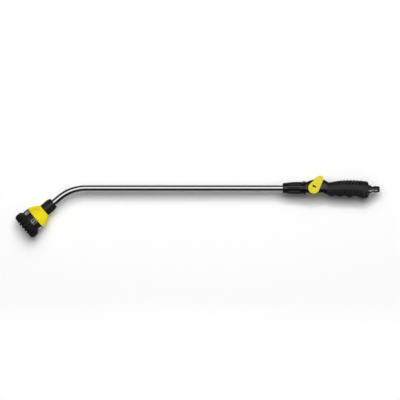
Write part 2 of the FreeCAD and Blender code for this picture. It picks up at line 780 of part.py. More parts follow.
# ---- spray head, fixed parts -----------------------------------------------------------------
HEAD_SPIGOT_R = 12.1
HEAD_SPIGOT_TOP = 13.0
PLATE_FACE = 57.5  # front of the fixed plate that the turning parts face
HUB_ORING_STATION = 60.0
HUB_ORING_THICK = 0.9
POCKET_R = 4.6
POCKET_FLOOR = 47.5
SEAL_TOP = 52.5


def neck_nut():
    body = turned(
        (TUBE_R + 0.3, 0.0),
        (11.8, 0.0),
        ((12.7, 0.35), (13.1, 1.2)),
        ((14.6, 7.0), (15.2, 14.0)),
        (15.4, NECK_END - 0.6),
        (14.8, NECK_END),
        (HEAD_SPIGOT_R + EASE, NECK_END),
        (HEAD_SPIGOT_R + EASE, HEAD_SPIGOT_TOP - 0.5),
        (SPIGOT_BORE_R, HEAD_SPIGOT_TOP - 0.5),
        (SPIGOT_BORE_R, 6.0),
        (TUBE_R + 0.3, 6.0),
    )
    return on_head(fluted(body, 20, 1.2, 0.45, 7.5, 25.5, 14.6, 15.35, 9.0))


def thrust_ring_front():
    return on_head(split_ring(6.1, BEAD_FRONT_STATION - 1.85))


def tube_oring_front():
    return on_head(seal(TUBE_R + 0.02, 2.1, 15.95))


def head_body():
    """Carries the tube, spreads the water behind a fixed plate and feeds it out at one port."""
    outer = turned(
        (0, HEAD_SPIGOT_TOP),
        (HEAD_SPIGOT_R - 0.6, HEAD_SPIGOT_TOP),
        (HEAD_SPIGOT_R, HEAD_SPIGOT_TOP + 0.6),
        (HEAD_SPIGOT_R, 31.8),
        (13.6, 31.8),
        ((21.2, 43.0), (25.6, 54.0)),
        (26.4, 54.6),
        (26.6, PLATE_FACE),
        (HUB_R, PLATE_FACE),
        (HUB_R, 66.0),
        (0, 66.0),
    )
    chamber = turned(
        (0, 26.0),
        (6.0, 26.0),
        (6.0, 34.5),
        ((16.4, 43.0), (19.6, POCKET_FLOOR - 1.5)),
        (5.2, POCKET_FLOOR - 1.5),
        (5.2, 42.0),
        (0, 40.0),
    )
    port = at_angle(PORT_CIRCLE_R, INDEX_DEG)
    cuts = [
        ring(0, SPIGOT_BORE_R, HEAD_SPIGOT_TOP - 1, 17.1),
        ring(0, TUBE_R + 0.06, 16.0, TUBE_IN_HEAD + 0.5),
        chamber,
        Part.makeCylinder(3.0, 8.0, port + UP * (POCKET_FLOOR - 4.0)),
        Part.makeCylinder(POCKET_R, 20.0, port + UP * POCKET_FLOOR),
        Part.makeCylinder(2.0, 20.0, UP * 47.0),
        ring(HUB_R - 1.0, HUB_R + 1.0, HUB_ORING_STATION - 0.6, HUB_ORING_STATION + 0.6),
        click_pocket(),
    ]
    return on_head(outer.cut(cuts))


def click_pocket():
    """A shallow pocket across the plate for the click spring."""
    return box((17.6, -5.2, 55.4), (25.6, 5.2, PLATE_FACE + 1))


def click_spring():
    """A strip of spring steel with a raised nose, held at both ends of its pocket."""
    nose_r = 2.6
    strip = box((20.6, -5.0, 55.5), (24.4, 5.0, 55.9))
    arch = Part.makeCylinder(nose_r, 3.0, Vector(21.0, 0, 55.3), ALONG)
    hollow = Part.makeCylinder(nose_r - 0.4, 3.0, Vector(21.0, 0, 55.3), ALONG)
    above = box((20, -4, 55.6), (25, 4, 60))
    return on_head(strip.fuse(arch.common(above)).cut(hollow))


def port_seal():
    cup = turned(
        (2.9, SEAL_TOP),
        (POCKET_R - 0.1, SEAL_TOP),
        (POCKET_R - 0.1, 56.4),
        (3.9, 57.0),
        (3.9, 57.95),
        (2.9, 57.95),
    )
    cup.translate(at_angle(PORT_CIRCLE_R, INDEX_DEG))
    return on_head(cup)


def port_seal_spring():
    wire_r = 0.4
    coil_r = POCKET_R - 0.15 - wire_r
    low, high = POCKET_FLOOR + 0.1 + wire_r, SEAL_TOP - 0.1 - wire_r
    path = Part.makeLongHelix((high - low) / 3.5, high - low, coil_r)
    profile = Part.Wire(Part.makeCircle(wire_r, Vector(coil_r, 0, 0), ACROSS))
    coil = Part.Wire(path).makePipeShell([profile], True, True)
    coil.translate(at_angle(PORT_CIRCLE_R, INDEX_DEG) + UP * low)
    return on_head(coil)


def head_shroud():
    """The bell-shaped cover between the neck nut and the selector."""
    wall = 2.0
    body = turned(
        (HEAD_SPIGOT_R + 0.2, NECK_END + 0.1),
        (SHROUD_SMALL_R - 0.8, NECK_END + 0.1),
        ((SHROUD_SMALL_R - 0.1, NECK_END + 0.35), (SHROUD_SMALL_R + 0.3, NECK_END + 0.9)),
        ((24.6, 42.8), (SHROUD_LARGE_R, SHROUD_END - 0.8)),
        ((SHROUD_LARGE_R, SHROUD_END - 0.2), (SHROUD_LARGE_R - 0.6, SHROUD_END)),
        (LIP_R, SHROUD_END),
        (LIP_R, LIP_END),
        (SHROUD_LARGE_R - wall, LIP_END),
        (SHROUD_LARGE_R - wall, SHROUD_END),
        ((24.6 - wall - 0.1, 43.9), (SHROUD_SMALL_R - 1.6, NECK_END + 2.3)),
        (HEAD_SPIGOT_R + 0.2, NECK_END + 2.3),
    )
    return on_head(body)


def center_screw():
    thread = ring(0, 1.98, 52.0, 66.0)
    neck = ring(0, 1.98, 66.0, 67.1)
    head = turned((0, 67.1), (4.2, 67.1), (4.2, 68.4), ((3.0, 69.6), (0, 70.0)))
    slot = cross_recess(1.0, 5.0, 1.3)
    slot.translate(UP * 70.0)
    return on_head(thread.fuse([neck, head]).cut(slot))


def center_washer():
    return on_head(ring(2.1, 8.7, 66.05, 67.05))


def hub_oring():
    return on_head(seal(HUB_R - 0.95, HUB_ORING_THICK, HUB_ORING_STATION))


# ---- spray head, turning parts ---------------------------------------------------------------
def port_disc():
    """Turns behind the chambers. One of its ports at a time faces the fixed port."""
    body = ring(HUB_R + RUNNING, ROTOR_R, 58.0, 62.0)
    ports = polar(Part.makeCylinder(3.2, 10, Vector(PORT_CIRCLE_R, 0, 56)), PATTERNS, INDEX_DEG)
    notches = polar(Part.makeSphere(2.7, Vector(22.5, 0, 55.8)), PATTERNS)
    return on_head(body.cut(ports + notches))


def chamber_block():
    """Six walled chambers, one behind each pattern, round a hub that the washer holds down."""
    low, high = 62.05, 86.0
    rim = ring(ROTOR_R - 2.0, ROTOR_R, low, high)
    hub = ring(HUB_R + RUNNING, 11.0, low, high).cut(ring(0, 9.0, 65.95, high + 1))
    wall = box((10.5, -0.8, low), (ROTOR_R - 1.5, 0.8, high))
    walls = polar(wall, PATTERNS, INDEX_DEG + 180.0 / PATTERNS)
    return on_head(rim.fuse([hub] + walls))


def sector_point(index, radius, spread_deg, station):
    """A point in one pattern's sector of the spray face."""
    return at_angle(radius, INDEX_DEG + 360.0 * index / PATTERNS + spread_deg, station)


def spray_holes(low, depth):
    """Every outlet of the spray face: jet, shower, cone, flat, mist and soaker."""

    def hole(index, radius, spread_deg, hole_r):
        return Part.makeCylinder(hole_r, depth, sector_point(index, radius, spread_deg, low))

    holes = [hole(0, 16.0, 0, 2.2)]
    for radius, count in ((12.4, 3), (15.6, 4), (18.8, 5), (22.0, 6)):
        pitch = 42.0 / count
        holes += [hole(1, radius, (i - (count - 1) / 2) * pitch, 0.6) for i in range(count)]
    for i in range(10):
        centre = sector_point(2, 17.0, 0, low)
        holes.append(Part.makeCylinder(0.7, depth, centre + at_angle(5.0, 36.0 * i)))
    for i in range(5):
        slot = box((-0.5, -2.0, low), (0.5, 2.0, low + depth))
        slot.translate(Vector(14.0 + 1.8 * i, 0, 0))
        slot.rotate(ORIGIN, UP, INDEX_DEG + 360.0 * 3 / PATTERNS)
        holes.append(slot)
    for radius, spread in ((14.0, 0), (19.5, -11), (19.5, 11)):
        holes.append(hole(4, radius, spread, 0.9))
    for radius, spread in ((13.5, 0), (17.5, -14), (17.5, 14), (21.5, -7), (21.5, 7)):
        holes.append(hole(5, radius, spread, 1.5))
    return holes


def spray_plate():
    low, high = 86.05, 89.5
    body = ring(6.0, ROTOR_R - 0.1, low, high)
    dish = turned((9.0, high - 0.8), (23.6, high - 0.8), (24.4, high + 1), (8.2, high + 1))
    return on_head(body.cut(dish).cut(spray_holes(low - 1, 10.0)))


def center_cap():
    return on_head(
        turned(
            (0, 86.6),
            (5.9, 86.6),
            (5.9, 90.2),
            ((5.4, 91.1), (3.4, 91.5)),
            (0, 91.5),
        )
    )


def selector_dial():
    """The ring that is turned by hand. It carries the chambers, the face and the rubber grip."""
    body = turned(
        (DIAL_BORE_R, LIP_END + 0.2),
        (LIP_R + 0.2, LIP_END + 0.2),
        (LIP_R + 0.2, SHROUD_END + 0.3),
        (DIAL_R - 0.5, SHROUD_END + 0.3),
        (DIAL_R, SHROUD_END + 0.8),
        (DIAL_R, DIAL_END - 0.3),
        (DIAL_R - 0.3, DIAL_END),
        (28.8, DIAL_END),
        (28.8, DIAL_RIM_END - 0.6),
        (28.2, DIAL_RIM_END),
        (25.4, DIAL_RIM_END - 2.2),
        (25.4, 89.6),
        (DIAL_BORE_R, 89.6),
    )
    return on_head(body)


def grip_ring():
    """Fat rubber ring round the selector, scooped so that fingers can turn it."""
    body = turned(
        (28.9, DIAL_END + 0.3),
        (30.4, DIAL_END + 0.3),
        ((33.1, DIAL_END + 3.0), (RING_R, DIAL_END + 8.6)),
        (RING_R, FACE_END - 9.0),
        ((32.9, FACE_END - 3.0), (29.4, FACE_END)),
        ((27.8, FACE_END - 0.5), (27.0, FACE_END - 1.7)),
        (28.9, DIAL_RIM_END + 0.1),
    )
    scoop_r = 3.4
    start = Vector(RING_R + scoop_r + 0.3, 0, DIAL_END + 6.0)
    finish = Vector(RING_R + scoop_r - 6.1, 0, FACE_END + 1.5)
    line = finish - start
    scoop = Part.makeCylinder(scoop_r, line.Length, start, line)
    bite = Part.makeCylinder(BITE_R, RING_R, Vector(DIAL_BORE_R - 3.0, 0, FACE_END), ALONG)
    return on_head(body.cut(polar(scoop.fuse(bite), SCOOPS, SCOOP_DEG)))


PARTS = {
    "hose_plug": hose_plug,
    "hose_plug_oring": hose_plug_oring,
    "plug_shank_oring": plug_shank_oring,
    "inlet_pipe": inlet_pipe,
    "inlet_pipe_orings": inlet_pipe_orings,
    "handle_shell_left": lambda: handle_shell(-1),
    "handle_shell_right": lambda: handle_shell(1),
    "grip_pad_top": lambda: grip_pad(True),
    "grip_pad_bottom": lambda: grip_pad(False),
    "handle_screws": handle_screws,
    "end_cap": end_cap,
    "valve_body": valve_body,
    "ball_seat_front": lambda: ball_seat(-1),
    "ball_seat_rear": lambda: ball_seat(1),
    "valve_ball": valve_ball,
    "valve_spindle": valve_spindle,
    "spindle_orings": spindle_orings,
    "seat_carrier": seat_carrier,
    "tube_oring_rear": tube_oring_rear,
    "thrust_ring_rear": thrust_ring_rear,
    "tube_nut": tube_nut,
    "thumb_lever": thumb_lever,
    "pivot_screw": pivot_screw,
    "lance_tube": lance_tube,
    "neck_nut": neck_nut,
    "thrust_ring_front": thrust_ring_front,
    "tube_oring_front": tube_oring_front,
    "head_body": head_body,
    "head_shroud": head_shroud,
    "port_seal": port_seal,
    "port_seal_spring": port_seal_spring,
    "click_spring": click_spring,
    "hub_oring": hub_oring,
    "center_screw": center_screw,
    "center_washer": center_washer,
    "port_disc": port_disc,
    "chamber_block": chamber_block,
    "spray_plate": spray_plate,
    "center_cap": center_cap,
    "selector_dial": selector_dial,
    "grip_ring": grip_ring,
}


def main():
    os.makedirs("parts", exist_ok=True)
    for name, build in PARTS.items():
        shape = build()
        solids = shape.Solids
        shape = solids[0] if len(solids) == 1 else Part.makeCompound(solids)
        state = "valid" if shape.isValid() else "NOT VALID"
        print(f"{name}: {len(solids)} solids, {shape.Volume:.0f} mm3, {state}")
        shape.exportStep(f"parts/{name}.step")


main()
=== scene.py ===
import json
import math

import bmesh
import bpy
from mathutils import Matrix, Vector


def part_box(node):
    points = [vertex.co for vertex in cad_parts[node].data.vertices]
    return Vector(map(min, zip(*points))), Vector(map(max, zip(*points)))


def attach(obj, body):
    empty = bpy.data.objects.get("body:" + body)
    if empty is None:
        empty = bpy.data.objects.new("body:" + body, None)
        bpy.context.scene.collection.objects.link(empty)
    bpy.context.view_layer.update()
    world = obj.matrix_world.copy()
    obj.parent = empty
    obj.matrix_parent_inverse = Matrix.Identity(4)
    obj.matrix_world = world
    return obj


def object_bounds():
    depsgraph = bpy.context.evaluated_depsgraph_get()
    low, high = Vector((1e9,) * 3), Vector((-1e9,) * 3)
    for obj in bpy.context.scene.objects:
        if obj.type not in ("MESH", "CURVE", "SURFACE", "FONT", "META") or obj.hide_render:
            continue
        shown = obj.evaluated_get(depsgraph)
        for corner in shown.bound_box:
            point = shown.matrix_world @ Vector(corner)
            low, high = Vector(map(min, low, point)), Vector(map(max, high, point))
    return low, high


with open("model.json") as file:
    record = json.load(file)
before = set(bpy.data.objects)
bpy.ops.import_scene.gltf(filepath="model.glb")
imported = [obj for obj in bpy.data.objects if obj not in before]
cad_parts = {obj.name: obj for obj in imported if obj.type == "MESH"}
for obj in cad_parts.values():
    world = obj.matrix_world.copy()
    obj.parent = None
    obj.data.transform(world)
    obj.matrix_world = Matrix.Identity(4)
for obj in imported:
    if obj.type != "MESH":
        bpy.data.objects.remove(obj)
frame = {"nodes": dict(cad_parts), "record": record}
cad_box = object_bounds()

# The looks of the watering wand: a procedural material for every piece, the printed signs on the
# selector, the marks on the lever, and a pale studio. Lengths are in metres, with MM for millimetres.
MM = 0.001
RECORD = frame["record"]


# ---- places taken from the frame ---------------------------------------------------------------
def joint(name):
    for item in RECORD["behaviour"]["joints"]:
        if item["name"] == name:
            return item
    raise KeyError(name)


def head_matrix():
    """The head's own frame: Z along the spray axis from the top of the neck nut, Y unchanged."""
    turn = joint("selector_turn")
    z = Vector(turn["axis"]).normalized()
    y = Vector((0, 1, 0))
    x = y.cross(z)
    matrix = Matrix((x, y, z)).transposed().to_4x4()
    matrix.translation = Vector(turn["pos_m"])
    return matrix


def head_extent(node):
    """Lowest station and largest radius of a head node."""
    inverse = head_matrix().inverted()
    points = [inverse @ v.co for v in frame["nodes"][node].data.vertices]
    return min(p.z for p in points), max(math.hypot(p.x, p.y) for p in points)


# ---- node helpers ------------------------------------------------------------------------------
def add(tree, kind, links=None, **settings):
    """Adds a node. links maps input names to values or to other nodes' output sockets."""
    item = tree.nodes.new(kind)
    for key, value in settings.items():
        setattr(item, key, value)
    for key, value in (links or {}).items():
        if isinstance(value, bpy.types.NodeSocket):
            tree.links.new(value, item.inputs[key])
        else:
            item.inputs[key].default_value = value
    return item


def maths(tree, operation, a, b=0.0):
    return add(tree, "ShaderNodeMath", {0: a, 1: b}, operation=operation).outputs[0]


def blend_range(tree, value, low, high, to_low=0.0, to_high=1.0):
    """Carries a value from one range to another and holds it there beyond the ends."""
    links = {"Value": value, "From Min": low, "From Max": high, "To Min": to_low, "To Max": to_high}
    return add(tree, "ShaderNodeMapRange", links).outputs[0]


def noise(tree, vector, scale, detail=3.0, roughness=0.5):
    links = {"Vector": vector, "Scale": scale, "Detail": detail, "Roughness": roughness}
    return add(tree, "ShaderNodeTexNoise", links).outputs["Fac"]


def object_coords(tree):
    return add(tree, "ShaderNodeTexCoord").outputs["Object"]


def stretched(tree, vector, scale):
    return add(tree, "ShaderNodeMapping", {"Vector": vector, "Scale": scale}).outputs[0]


def mix_colours(tree, factor, a, b):
    item = add(tree, "ShaderNodeMix", data_type="RGBA")
    for socket, value in ((item.inputs[0], factor), (item.inputs[6], a), (item.inputs[7], b)):
        if isinstance(value, bpy.types.NodeSocket):
            tree.links.new(value, socket)
        elif isinstance(value, (int, float)):
            socket.default_value = value
        else:
            socket.default_value = (*value, 1.0)
    return item.outputs[2]


def bump(tree, height, strength, distance, normal=None):
    """A shading normal tilted by a height pattern, on top of another normal if one is given."""
    links = {"Strength": strength, "Distance": distance, "Height": height}
    if normal is not None:
        links["Normal"] = normal
    return add(tree, "ShaderNodeBump", links).outputs[0]


def rounded_normal(tree, radius):
    """A shading normal that softens the sharp edges of moulded and turned parts."""
    return add(tree, "ShaderNodeBevel", {"Radius": radius}, samples=6).outputs[0]


def edge_mask(tree, vector):
    """High along worn edges, broken up by noise."""
    bevel = rounded_normal(tree, 0.6 * MM)
    flat = add(tree, "ShaderNodeNewGeometry").outputs["Normal"]
    dot = add(tree, "ShaderNodeVectorMath", {0: bevel, 1: flat}, operation="DOT_PRODUCT")
    edge = blend_range(tree, dot.outputs["Value"], 0.995, 0.90)
    patchy = blend_range(tree, noise(tree, vector, 420.0, 4.0), 0.42, 0.62)
    return maths(tree, "MULTIPLY", edge, patchy)


def painted_crevice_shade(tree, reach, darkest):
    """Painted shade: 1 on open faces, falling to the darkest value in the slots and corners of the part
    itself.
    """
    sky = add(tree, "ShaderNodeAmbientOcclusion", {"Distance": reach}, samples=8, only_local=True)
    return blend_range(tree, sky.outputs["AO"], 0.74, 0.94, darkest, 1.0)


def darkened(tree, colour, factor):
    """A colour multiplied by a factor."""
    return add(tree, "ShaderNodeVectorMath", {0: colour, "Scale": factor}, operation="SCALE").outputs[0]


def new_material(name):
    """A new material with its node tree and its main shader."""
    material = bpy.data.materials.new(name)
    material.use_nodes = True
    tree = material.node_tree
    return material, tree, tree.nodes["Principled BSDF"]


def feed(tree, shader, **values):
    """Sets a shader's inputs to values, colours or other nodes' output sockets."""
    for key, value in values.items():
        socket = shader.inputs[key.replace("_", " ")]
        if isinstance(value, bpy.types.NodeSocket):
            tree.links.new(value, socket)
        elif isinstance(value, (int, float)):
            socket.default_value = value
        else:
            socket.default_value = (*value, 1.0)


# ---- materials ---------------------------------------------------------------------------------
def moulded_plastic(name, colour, worn, roughness, grain, depth, coat=0.0, uneven=0.12, shine=0.5):
    """Injection-moulded plastic: spark-eroded grain, faint flow marks and slightly worn edges.

    worn is the colour of the edges, grain the fineness of the surface and depth its height.
    """
    material, tree, shader = new_material(name)
    coords = object_coords(tree)
    broad = noise(tree, coords, 38.0, 4.0)
    flow = noise(tree, stretched(tree, coords, (14.0, 60.0, 60.0)), 1.0, 3.0)
    tone = maths(tree, "MULTIPLY", maths(tree, "ADD", broad, flow), 0.5)
    dark = tuple(c * (1.0 - uneven) for c in colour)
    light = tuple(min(1.0, c * (1.0 + uneven)) for c in colour)
    base = mix_colours(tree, blend_range(tree, tone, 0.35, 0.65), dark, light)
    wear = maths(tree, "MULTIPLY", edge_mask(tree, coords), 0.45)
    base = mix_colours(tree, wear, base, worn)
    grain_height = noise(tree, coords, grain, 2.0, 0.6)
    normal = bump(tree, grain_height, 0.6, depth, rounded_normal(tree, 0.4 * MM))
    rough = blend_range(tree, broad, 0.3, 0.7, roughness - 0.05, roughness + 0.07)
    feed(tree, shader, Base_Color=base, Roughness=rough, Normal=normal, Coat_Weight=coat)
    feed(tree, shader, Specular_IOR_Level=shine, Coat_Roughness=0.12)
    return material


def rubber(name, colour, roughness=0.62):
    """Soft black elastomer with a fine matt grain, patches of dust, and painted shade in its slots and
    low places.
    """
    material, tree, shader = new_material(name)
    coords = object_coords(tree)
    broad = noise(tree, coords, 55.0, 5.0)
    dust = blend_range(tree, noise(tree, coords, 140.0, 6.0, 0.7), 0.5, 0.8, 0.0, 0.35)
    dusty = tuple(c * 2.2 + 0.008 for c in colour)
    base = mix_colours(tree, dust, colour, dusty)
    # painted shade: the colour and the reflections darken in the slots and low places
    shade = painted_crevice_shade(tree, 3.0 * MM, 0.15)
    base = darkened(tree, base, shade)
    height = noise(tree, coords, 1900.0, 3.0, 0.7)
    normal = bump(tree, height, 0.7, 0.06 * MM, rounded_normal(tree, 0.5 * MM))
    rough = blend_range(tree, broad, 0.3, 0.7, roughness - 0.06, roughness + 0.1)
    feed(tree, shader, Base_Color=base, Roughness=rough, Normal=normal)
    feed(tree, shader, Specular_IOR_Level=maths(tree, "MULTIPLY", shade, 0.4))
    return material


def polished_tube(name):
    """Bright drawn tube: a mirror finish with fine drawing lines, hairline scratches and smudges."""
    material, tree, shader = new_material(name)
    coords = object_coords(tree)
    drawn = noise(tree, stretched(tree, coords, (6.0, 2600.0, 2600.0)), 1.0, 2.0)
    hair = noise(tree, stretched(tree, coords, (60.0, 900.0, 900.0)), 1.0, 6.0, 0.8)
    smudge = blend_range(tree, noise(tree, coords, 26.0, 5.0, 0.6), 0.5, 0.75, 0.0, 0.07)
    scratch = blend_range(tree, hair, 0.66, 0.72, 0.0, 0.10)
    rough = maths(tree, "ADD", maths(tree, "ADD", smudge, scratch), 0.025)
    normal = bump(tree, drawn, 0.12, 0.01 * MM)
    feed(tree, shader, Base_Color=(0.86, 0.87, 0.885), Metallic=1.0, Roughness=rough, Normal=normal)
    return material


def turned_metal(name, colour, roughness):
    """Screws, springs and valve parts: plated metal with a fine machined texture."""
    material, tree, shader = new_material(name)
    coords = object_coords(tree)
    lines = noise(tree, coords, 1400.0, 4.0, 0.7)
    normal = bump(tree, lines, 0.3, 0.02 * MM)
    broad = noise(tree, coords, 120.0, 4.0)
    rough = blend_range(tree, broad, 0.3, 0.7, roughness - 0.06, roughness + 0.1)
    feed(tree, shader, Base_Color=colour, Metallic=1.0, Roughness=rough, Normal=normal)
    return material


def printed_mark(name, colour, under, shine=0.5):
    """Pad-printed ink, slightly worn through to what is under it."""
    material, tree, shader = new_material(name)
    coords = object_coords(tree)
    worn = blend_range(tree, noise(tree, coords, 900.0, 5.0, 0.7), 0.60, 0.72, 0.0, 0.7)
    base = mix_colours(tree, worn, colour, under)
    feed(tree, shader, Base_Color=base, Roughness=0.5, Specular_IOR_Level=shine)
    return material


YELLOW = (0.86, 0.715, 0.010)
# painted shade and sheen: a darker, paler copy of the yellow for the lever's flat faces
SHEEN_AND_SHADE_YELLOW = (0.76, 0.675, 0.036)
WORN_YELLOW = (0.9, 0.78, 0.16)
BLACK = (0.0055, 0.0055, 0.006)
WORN_BLACK = (0.04, 0.04, 0.042)
CHARCOAL = (0.011, 0.011, 0.012)
WORN_CHARCOAL = (0.05, 0.05, 0.052)
GREY = (0.15, 0.155, 0.16)
WORN_GREY = (0.3, 0.3, 0.3)
NYLON = (0.78, 0.77, 0.72)
WORN_NYLON = (0.9, 0.9, 0.88)
PAD_RUBBER = (0.020, 0.020, 0.0205)
RING_RUBBER = (0.008, 0.008, 0.0082)
SEAL_RUBBER = (0.01, 0.01, 0.01)
STEEL = (0.56, 0.56, 0.57)
BRASS = (0.72, 0.55, 0.27)


def yellow_plastic(name, colour):
    return moulded_plastic(
        name, colour, WORN_YELLOW, roughness=0.36, grain=2200.0, depth=0.03 * MM, coat=0.15, uneven=0.05
    )


MATERIALS = {
    "black_plastic": moulded_plastic(
        "black_plastic", BLACK, WORN_BLACK, roughness=0.17, grain=2400.0, depth=0.02 * MM, shine=0.8
    ),
    "dark_plastic": moulded_plastic(
        "dark_plastic", CHARCOAL, WORN_CHARCOAL, roughness=0.36, grain=1700.0, depth=0.05 * MM
    ),
    "face_plastic": moulded_plastic(
        "face_plastic", GREY, WORN_GREY, roughness=0.38, grain=2000.0, depth=0.03 * MM
    ),
    "white_nylon": moulded_plastic(
        "white_nylon", NYLON, WORN_NYLON, roughness=0.4, grain=1800.0, depth=0.03 * MM
    ),
    "yellow_plastic": yellow_plastic("yellow_plastic", YELLOW),
    "lever_painted_sheen": yellow_plastic("lever_painted_sheen", SHEEN_AND_SHADE_YELLOW),
    "grip_rubber": rubber("grip_rubber", PAD_RUBBER),
    "ring_rubber": rubber("ring_rubber", RING_RUBBER),
    "seal_rubber": rubber("seal_rubber", SEAL_RUBBER, roughness=0.45),
    "polished_tube": polished_tube("polished_tube"),
    "screw_steel": turned_metal("screw_steel", STEEL, roughness=0.32),
    "valve_brass": turned_metal("valve_brass", BRASS, roughness=0.25),
}

# pieces whose look differs a little from that of their slot in the record; the lever's darker, paler
# yellow is painted shade and sheen on its flat faces
OWN_LOOKS = {"grip_ring": "ring_rubber", "thumb_lever": "lever_painted_sheen"}


def dress_frame():
    """Gives every CAD node its own look, or else the material of its slot in the record."""
    for part in RECORD["subparts"]:
        mesh = frame["nodes"][part["node"]].data
        mesh.materials.clear()
        look = OWN_LOOKS.get(part["node"], part["material_slot"])
        mesh.materials.append(MATERIALS[look])


# ---- printed marks -----------------------------------------------------------------------------
INK = 0.06 * MM  # half the thickness of the printed slabs, which lie half in the surface


def arc_points(centre, radius, start_deg, end_deg, count):
    """Points along an arc, from its start to its end, on count chords."""
    points = []
    for i in range(count + 1):
        angle = math.radians(start_deg + (end_deg - start_deg) * i / count)
        points.append((centre[0] + radius * math.cos(angle), centre[1] + radius * math.sin(angle)))
    return points


def line_points(start, end, count=None):
    """Points along a line, on count pieces. Without a count they are about 1 mm apart."""
    count = count or math.ceil(math.dist(start, end))
    return [
        tuple(a + (b - a) * i / count for a, b in zip(start, end))
        for i in range(count + 1)
    ]


def thick_line(path, width):
    """The two edges of a line along a path. width is a number or a function of the way along."""
    left, right = [], []
    for i, point in enumerate(path):
        before = path[max(0, i - 1)]
        after = path[min(len(path) - 1, i + 1)]
        length = math.dist(before, after)
        nx, ny = (before[1] - after[1]) / length, (after[0] - before[0]) / length
        half = (width(i / (len(path) - 1)) if callable(width) else width) / 2
        left.append((point[0] + nx * half, point[1] + ny * half))
        right.append((point[0] - nx * half, point[1] - ny * half))
    return left, right


def add_strip(mesh, left, right, place, closed=False):
    """A thin slab between two edge lines. place maps (u, v, height) to a point."""
    rows = []
    for a, b in zip(left, right):
        low = [mesh.verts.new(place(*p, -INK)) for p in (a, b)]
        high = [mesh.verts.new(place(*p, INK)) for p in (a, b)]
        rows.append((low[0], low[1], high[1], high[0]))
    following = rows[1:] + rows[:1] if closed else rows[1:]
    for first, second in zip(rows, following):
        for k in range(4):
            n = (k + 1) % 4
            mesh.faces.new((first[k], first[n], second[n], second[k]))
    if not closed:
        mesh.faces.new(rows[0][::-1])
        mesh.faces.new(rows[-1])


def add_dot(mesh, centre, radius, place):
    """A thin round slab."""
    count = 10
    loop = arc_points(centre, radius, 0, 360, count)[:-1]
    low = [mesh.verts.new(place(*p, -INK)) for p in loop]
    high = [mesh.verts.new(place(*p, INK)) for p in loop]
    mesh.faces.new(low[::-1])
    mesh.faces.new(high)
    for i in range(count):
        n = (i + 1) % count
        mesh.faces.new((low[i], low[n], high[n], high[i]))


def finish_mesh(name, mesh, material, body):
    """Makes a piece of a mesh and lets it move with a body."""
    bmesh.ops.recalc_face_normals(mesh, faces=mesh.faces)
    data = bpy.data.meshes.new(name)
    mesh.to_mesh(data)
    mesh.free()
    data.materials.append(material)
    piece = bpy.data.objects.new(name, data)
    bpy.context.scene.collection.objects.link(piece)
    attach(piece, body)


INDEX_DEG = -101.5  # the pattern in use, about the head's axis
SIGN_SHIFT = -1.4 * MM  # from midway between the dial's rear edge and the rubber ring

# The signs' own sizes are in millimetres. u runs round the dial and v along it, towards the face.
SIGN_HALF_WIDTH = 6.5
SIGN_HALF_LENGTH = 5.8
SIGN_CORNER = 3.6
SIGN_LINE = 0.9
SIGN_PIECES = 6  # in each corner of the frame and along each side, enough to follow the round dial


# Each sign is a list of (path, width) strokes and a list of (u, v, radius) dots.
def jet_sign():
    return [(line_points((0, -4.1), (0, 4.1)), 1.4)], []


def shower_sign():
    steps = [-3.6 + 1.8 * i for i in range(5)]
    return [], [(u, v, 0.62) for u in steps for v in steps]


def cone_sign():
    reach = 3.8
    return [(line_points((u * 0.2, reach), (u, -reach)), 0.9) for u in (-reach, 0, reach)], []


def flat_sign():
    return [(line_points((-4.0, v), (4.0, v)), 1.3) for v in (-3.2, 0.0, 3.2)], []


def mist_sign():
    ring = [math.radians(45 * i) for i in range(8)]
    return [], [(r * math.cos(turn), r * math.sin(turn), 0.5) for r in (1.8, 3.8) for turn in ring]


def stream_sign():
    return [(line_points((u, -3.8), (u, 3.8)), 2.2) for u in (-3.2, 0, 3.2)], []


PATTERN_SIGNS = (jet_sign, shower_sign, cone_sign, flat_sign, mist_sign, stream_sign)


def frame_outline(inset):
    """A sign's frame, a box with rounded corners, moved inwards by an inset."""
    corner = SIGN_CORNER - inset
    reach_u = SIGN_HALF_WIDTH - SIGN_CORNER
    reach_v = SIGN_HALF_LENGTH - SIGN_CORNER
    arcs = []
    for start_deg, side, end in ((0, 1, 1), (90, -1, 1), (180, -1, -1), (270, 1, -1)):
        centre = (side * reach_u, end * reach_v)
        arcs.append(arc_points(centre, corner, start_deg, start_deg + 90, SIGN_PIECES))
    points = []
    for arc, following in zip(arcs, arcs[1:] + arcs[:1]):
        points += arc + line_points(arc[-1], following[0], SIGN_PIECES)[1:-1]
    return points


def pattern_sign(index, centre_station, radius):
    """One pattern's sign printed on the selector, inside a rounded frame."""
    matrix = head_matrix()
    middle = math.radians(INDEX_DEG + 360.0 * index / len(PATTERN_SIGNS))

    def place(u, v, height):
        reach = radius + height
        angle = middle + u * MM / radius
        station = centre_station + v * MM
        return matrix @ Vector((reach * math.cos(angle), reach * math.sin(angle), station))

    sign = bmesh.new()
    add_strip(sign, frame_outline(0.0), frame_outline(SIGN_LINE), place, closed=True)
    finish_mesh(f"pattern_frame_{index}", sign, MARK_GREY, "selector")

    sign = bmesh.new()
    strokes, dots = PATTERN_SIGNS[index]()
    for path, width in strokes:
        add_strip(sign, *thick_line(path, width), place)
    for u, v, dot_radius in dots:
        add_dot(sign, (u, v), dot_radius, place)
    finish_mesh(f"pattern_sign_{index}", sign, MARK_WHITE, "selector")


# The lever's mark is an arc that narrows along its length, in millimetres from the pivot. On the
# right cheek it sits further up, clear of the pivot screw.
LEFT_MARK_CENTRE = (-2.0, -2.6)
RIGHT_MARK_CENTRE = (3.8, 5.5)
MARK_RADIUS = 7.8
MARK_START_DEG = 96
MARK_END_DEG = 26
MARK_START_WIDTH = 6.0
MARK_END_WIDTH = 2.2


def mark_width(along):
    return MARK_START_WIDTH + (MARK_END_WIDTH - MARK_START_WIDTH) * along


